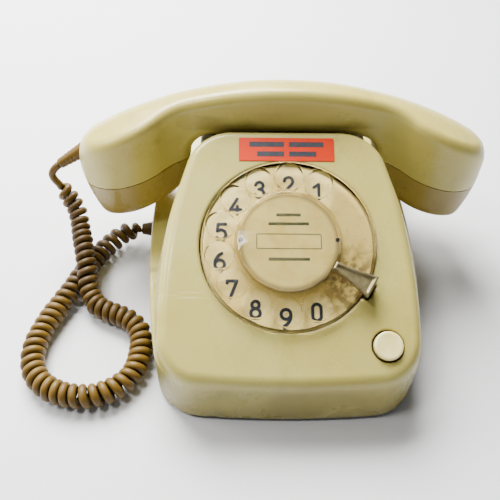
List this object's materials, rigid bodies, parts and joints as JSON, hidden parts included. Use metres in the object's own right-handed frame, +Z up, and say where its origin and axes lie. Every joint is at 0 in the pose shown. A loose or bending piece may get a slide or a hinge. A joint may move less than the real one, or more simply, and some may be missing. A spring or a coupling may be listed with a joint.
{
  "type": "rotary telephone",
  "caption": "Rotary desk telephone with a sloping dial face, a handset resting across its cradle and a curly handset cord that ends in loops beside it.",
  "frame": {"origin": "on the table plane, midway between the handset's ends and midway between the front and rear walls", "axes": "+X to the right as the user sees it, +Y to the back, +Z up"},
  "size_m": [0.2567, 0.2, 0.1119],
  "materials": {
    "housing_plastic": "satin, aged and yellowed",
    "handset_plastic": "satin, aged and yellowed",
    "cap_plastic": "satin, darker with age",
    "clear_plastic": "clear, fine scratches",
    "dial_ring_enamel": "satin",
    "card_paper": "matt paper",
    "label_orange": "matt printed paper",
    "digit_ink": "matt ink",
    "button_white": "glossy, aged",
    "cord_jacket": "satin vinyl",
    "rubber": "matt",
    "stop_steel": "tarnished",
    "steel": "satin",
    "base_steel": "matt paint",
    "brass": "satin",
    "inner_plastic": "matt",
    "board_laminate": "satin",
    "copper_winding": "enamelled wire",
    "magnet_iron": "matt",
    "capsule_metal": "satin"
  },
  "bodies": {
    "telephone": {"base_plate": "base_steel", "base_screws": "steel", "button_guide": "inner_plastic", "button_spring": "steel", "capacitors": "inner_plastic", "circuit_board": "board_laminate", "cord_lower": "cord_jacket", "dial_digits": "digit_ink", "dial_front_plate": "steel", "dial_number_ring": "dial_ring_enamel", "dial_rear_plate": "steel", "finger_stop": "stop_steel", "gong_left": "brass", "gong_right": "brass", "gong_screws": "steel", "governor_cup": "steel", "handset_cord_gland": "cord_jacket", "hook_contacts": "brass", "hook_spring": "steel", "hook_switch_frame": "steel", "housing_shell": "housing_plastic", "induction_coil": "copper_winding", "line_cord_inlet": "rubber", "pulse_contacts": "brass", "resistors": "inner_plastic", "return_spring": "steel", "ringer_coils": "copper_winding", "ringer_frame": "steel", "ringer_magnet": "magnet_iron", "ringer_yoke": "steel", "rubber_feet": "rubber", "sticker_label": "label_orange", "terminal_block": "inner_plastic"},
    "finger_wheel": {"finger_wheel": "clear_plastic", "dial_cap": "clear_plastic", "number_card": "card_paper", "card_retainer": "inner_plastic", "dial_shaft": "steel", "main_gear": "brass"},
    "intermediate_gear": {"intermediate_gear": "brass", "pulse_cam": "inner_plastic"},
    "governor": {"governor_shaft": "brass", "governor_weights": "steel"},
    "push_button": {"push_button": "button_white"},
    "handset": {"handset_shell": "handset_plastic", "handset_back_cover": "handset_plastic", "mouth_cap": "cap_plastic", "ear_cap": "cap_plastic", "transmitter_capsule": "capsule_metal", "receiver_capsule": "capsule_metal", "capsule_gaskets": "rubber", "handset_wires": "cord_jacket", "handset_cord_boot": "cord_jacket", "cord_lead": "cord_jacket", "cord_upper": "cord_jacket"},
    "cradle_plungers": {"cradle_plungers": "inner_plastic"},
    "hook_lever": {"hook_lever": "inner_plastic"},
    "ringer_clapper": {"ringer_clapper": "brass"},
    "volume_wheel": {"volume_wheel": "inner_plastic"}
  },
  "joints": [
    {"name": "finger_wheel_spin", "type": "hinge", "parent": "telephone", "child": "finger_wheel", "pos_m": [0, -0.03852, 0.06482], "axis": [0, 0.454, -0.891], "range_deg": [0, 310], "stiffness_Nm_per_rad": 0.004, "springref_deg": -171.89},
    {"name": "intermediate_spin", "type": "hinge", "parent": "telephone", "child": "intermediate_gear", "pos_m": [-0.02105, -0.04535, 0.06135], "axis": [0, 0.454, -0.891], "range_deg": [-930, 0]},
    {"name": "governor_spin", "type": "hinge", "parent": "telephone", "child": "governor", "pos_m": [-0.02679, -0.05941, 0.05418], "axis": [0, 0.454, -0.891], "range_deg": [0, 2790]},
    {"name": "push_button_press", "type": "slide", "parent": "telephone", "child": "push_button", "axis": [0, 0.454, -0.891], "range_m": [0, 0.0025], "stiffness_N_per_m": 400, "springref_m": -0.002, "deforming": ["button_spring"]},
    {"name": "handset_lift", "type": "slide", "parent": "telephone", "child": "handset", "axis": [0, 0, 1], "range_m": [0, 0.09]},
    {"name": "cradle_plunger_slide", "type": "slide", "parent": "telephone", "child": "cradle_plungers", "axis": [0, 0, 1], "range_m": [0, 0.004]},
    {"name": "hook_lever_turn", "type": "hinge", "parent": "telephone", "child": "hook_lever", "pos_m": [0, 0.02, 0.06], "axis": [1, 0, 0], "range_deg": [0, 14]},
    {"name": "clapper_swing", "type": "hinge", "parent": "telephone", "child": "ringer_clapper", "pos_m": [0, 0.038, 0.015], "axis": [0, 0, 1], "range_deg": [-6, 6]},
    {"name": "volume_wheel_turn", "type": "hinge", "parent": "telephone", "child": "volume_wheel", "pos_m": [0.047, 0.024, 0.0108], "axis": [0, 1, 0], "range_deg": [-60, 60]}
  ],
  "couplings": [
    {"joint": "intermediate_spin", "follows": "finger_wheel_spin", "ratio": -3},
    {"joint": "governor_spin", "follows": "finger_wheel_spin", "ratio": 9},
    {"joint": "cradle_plunger_slide", "follows": "handset_lift", "ratio": 0.04444},
    {"joint": "hook_lever_turn", "follows": "handset_lift", "rad_per_m": 2.69}
  ]
}
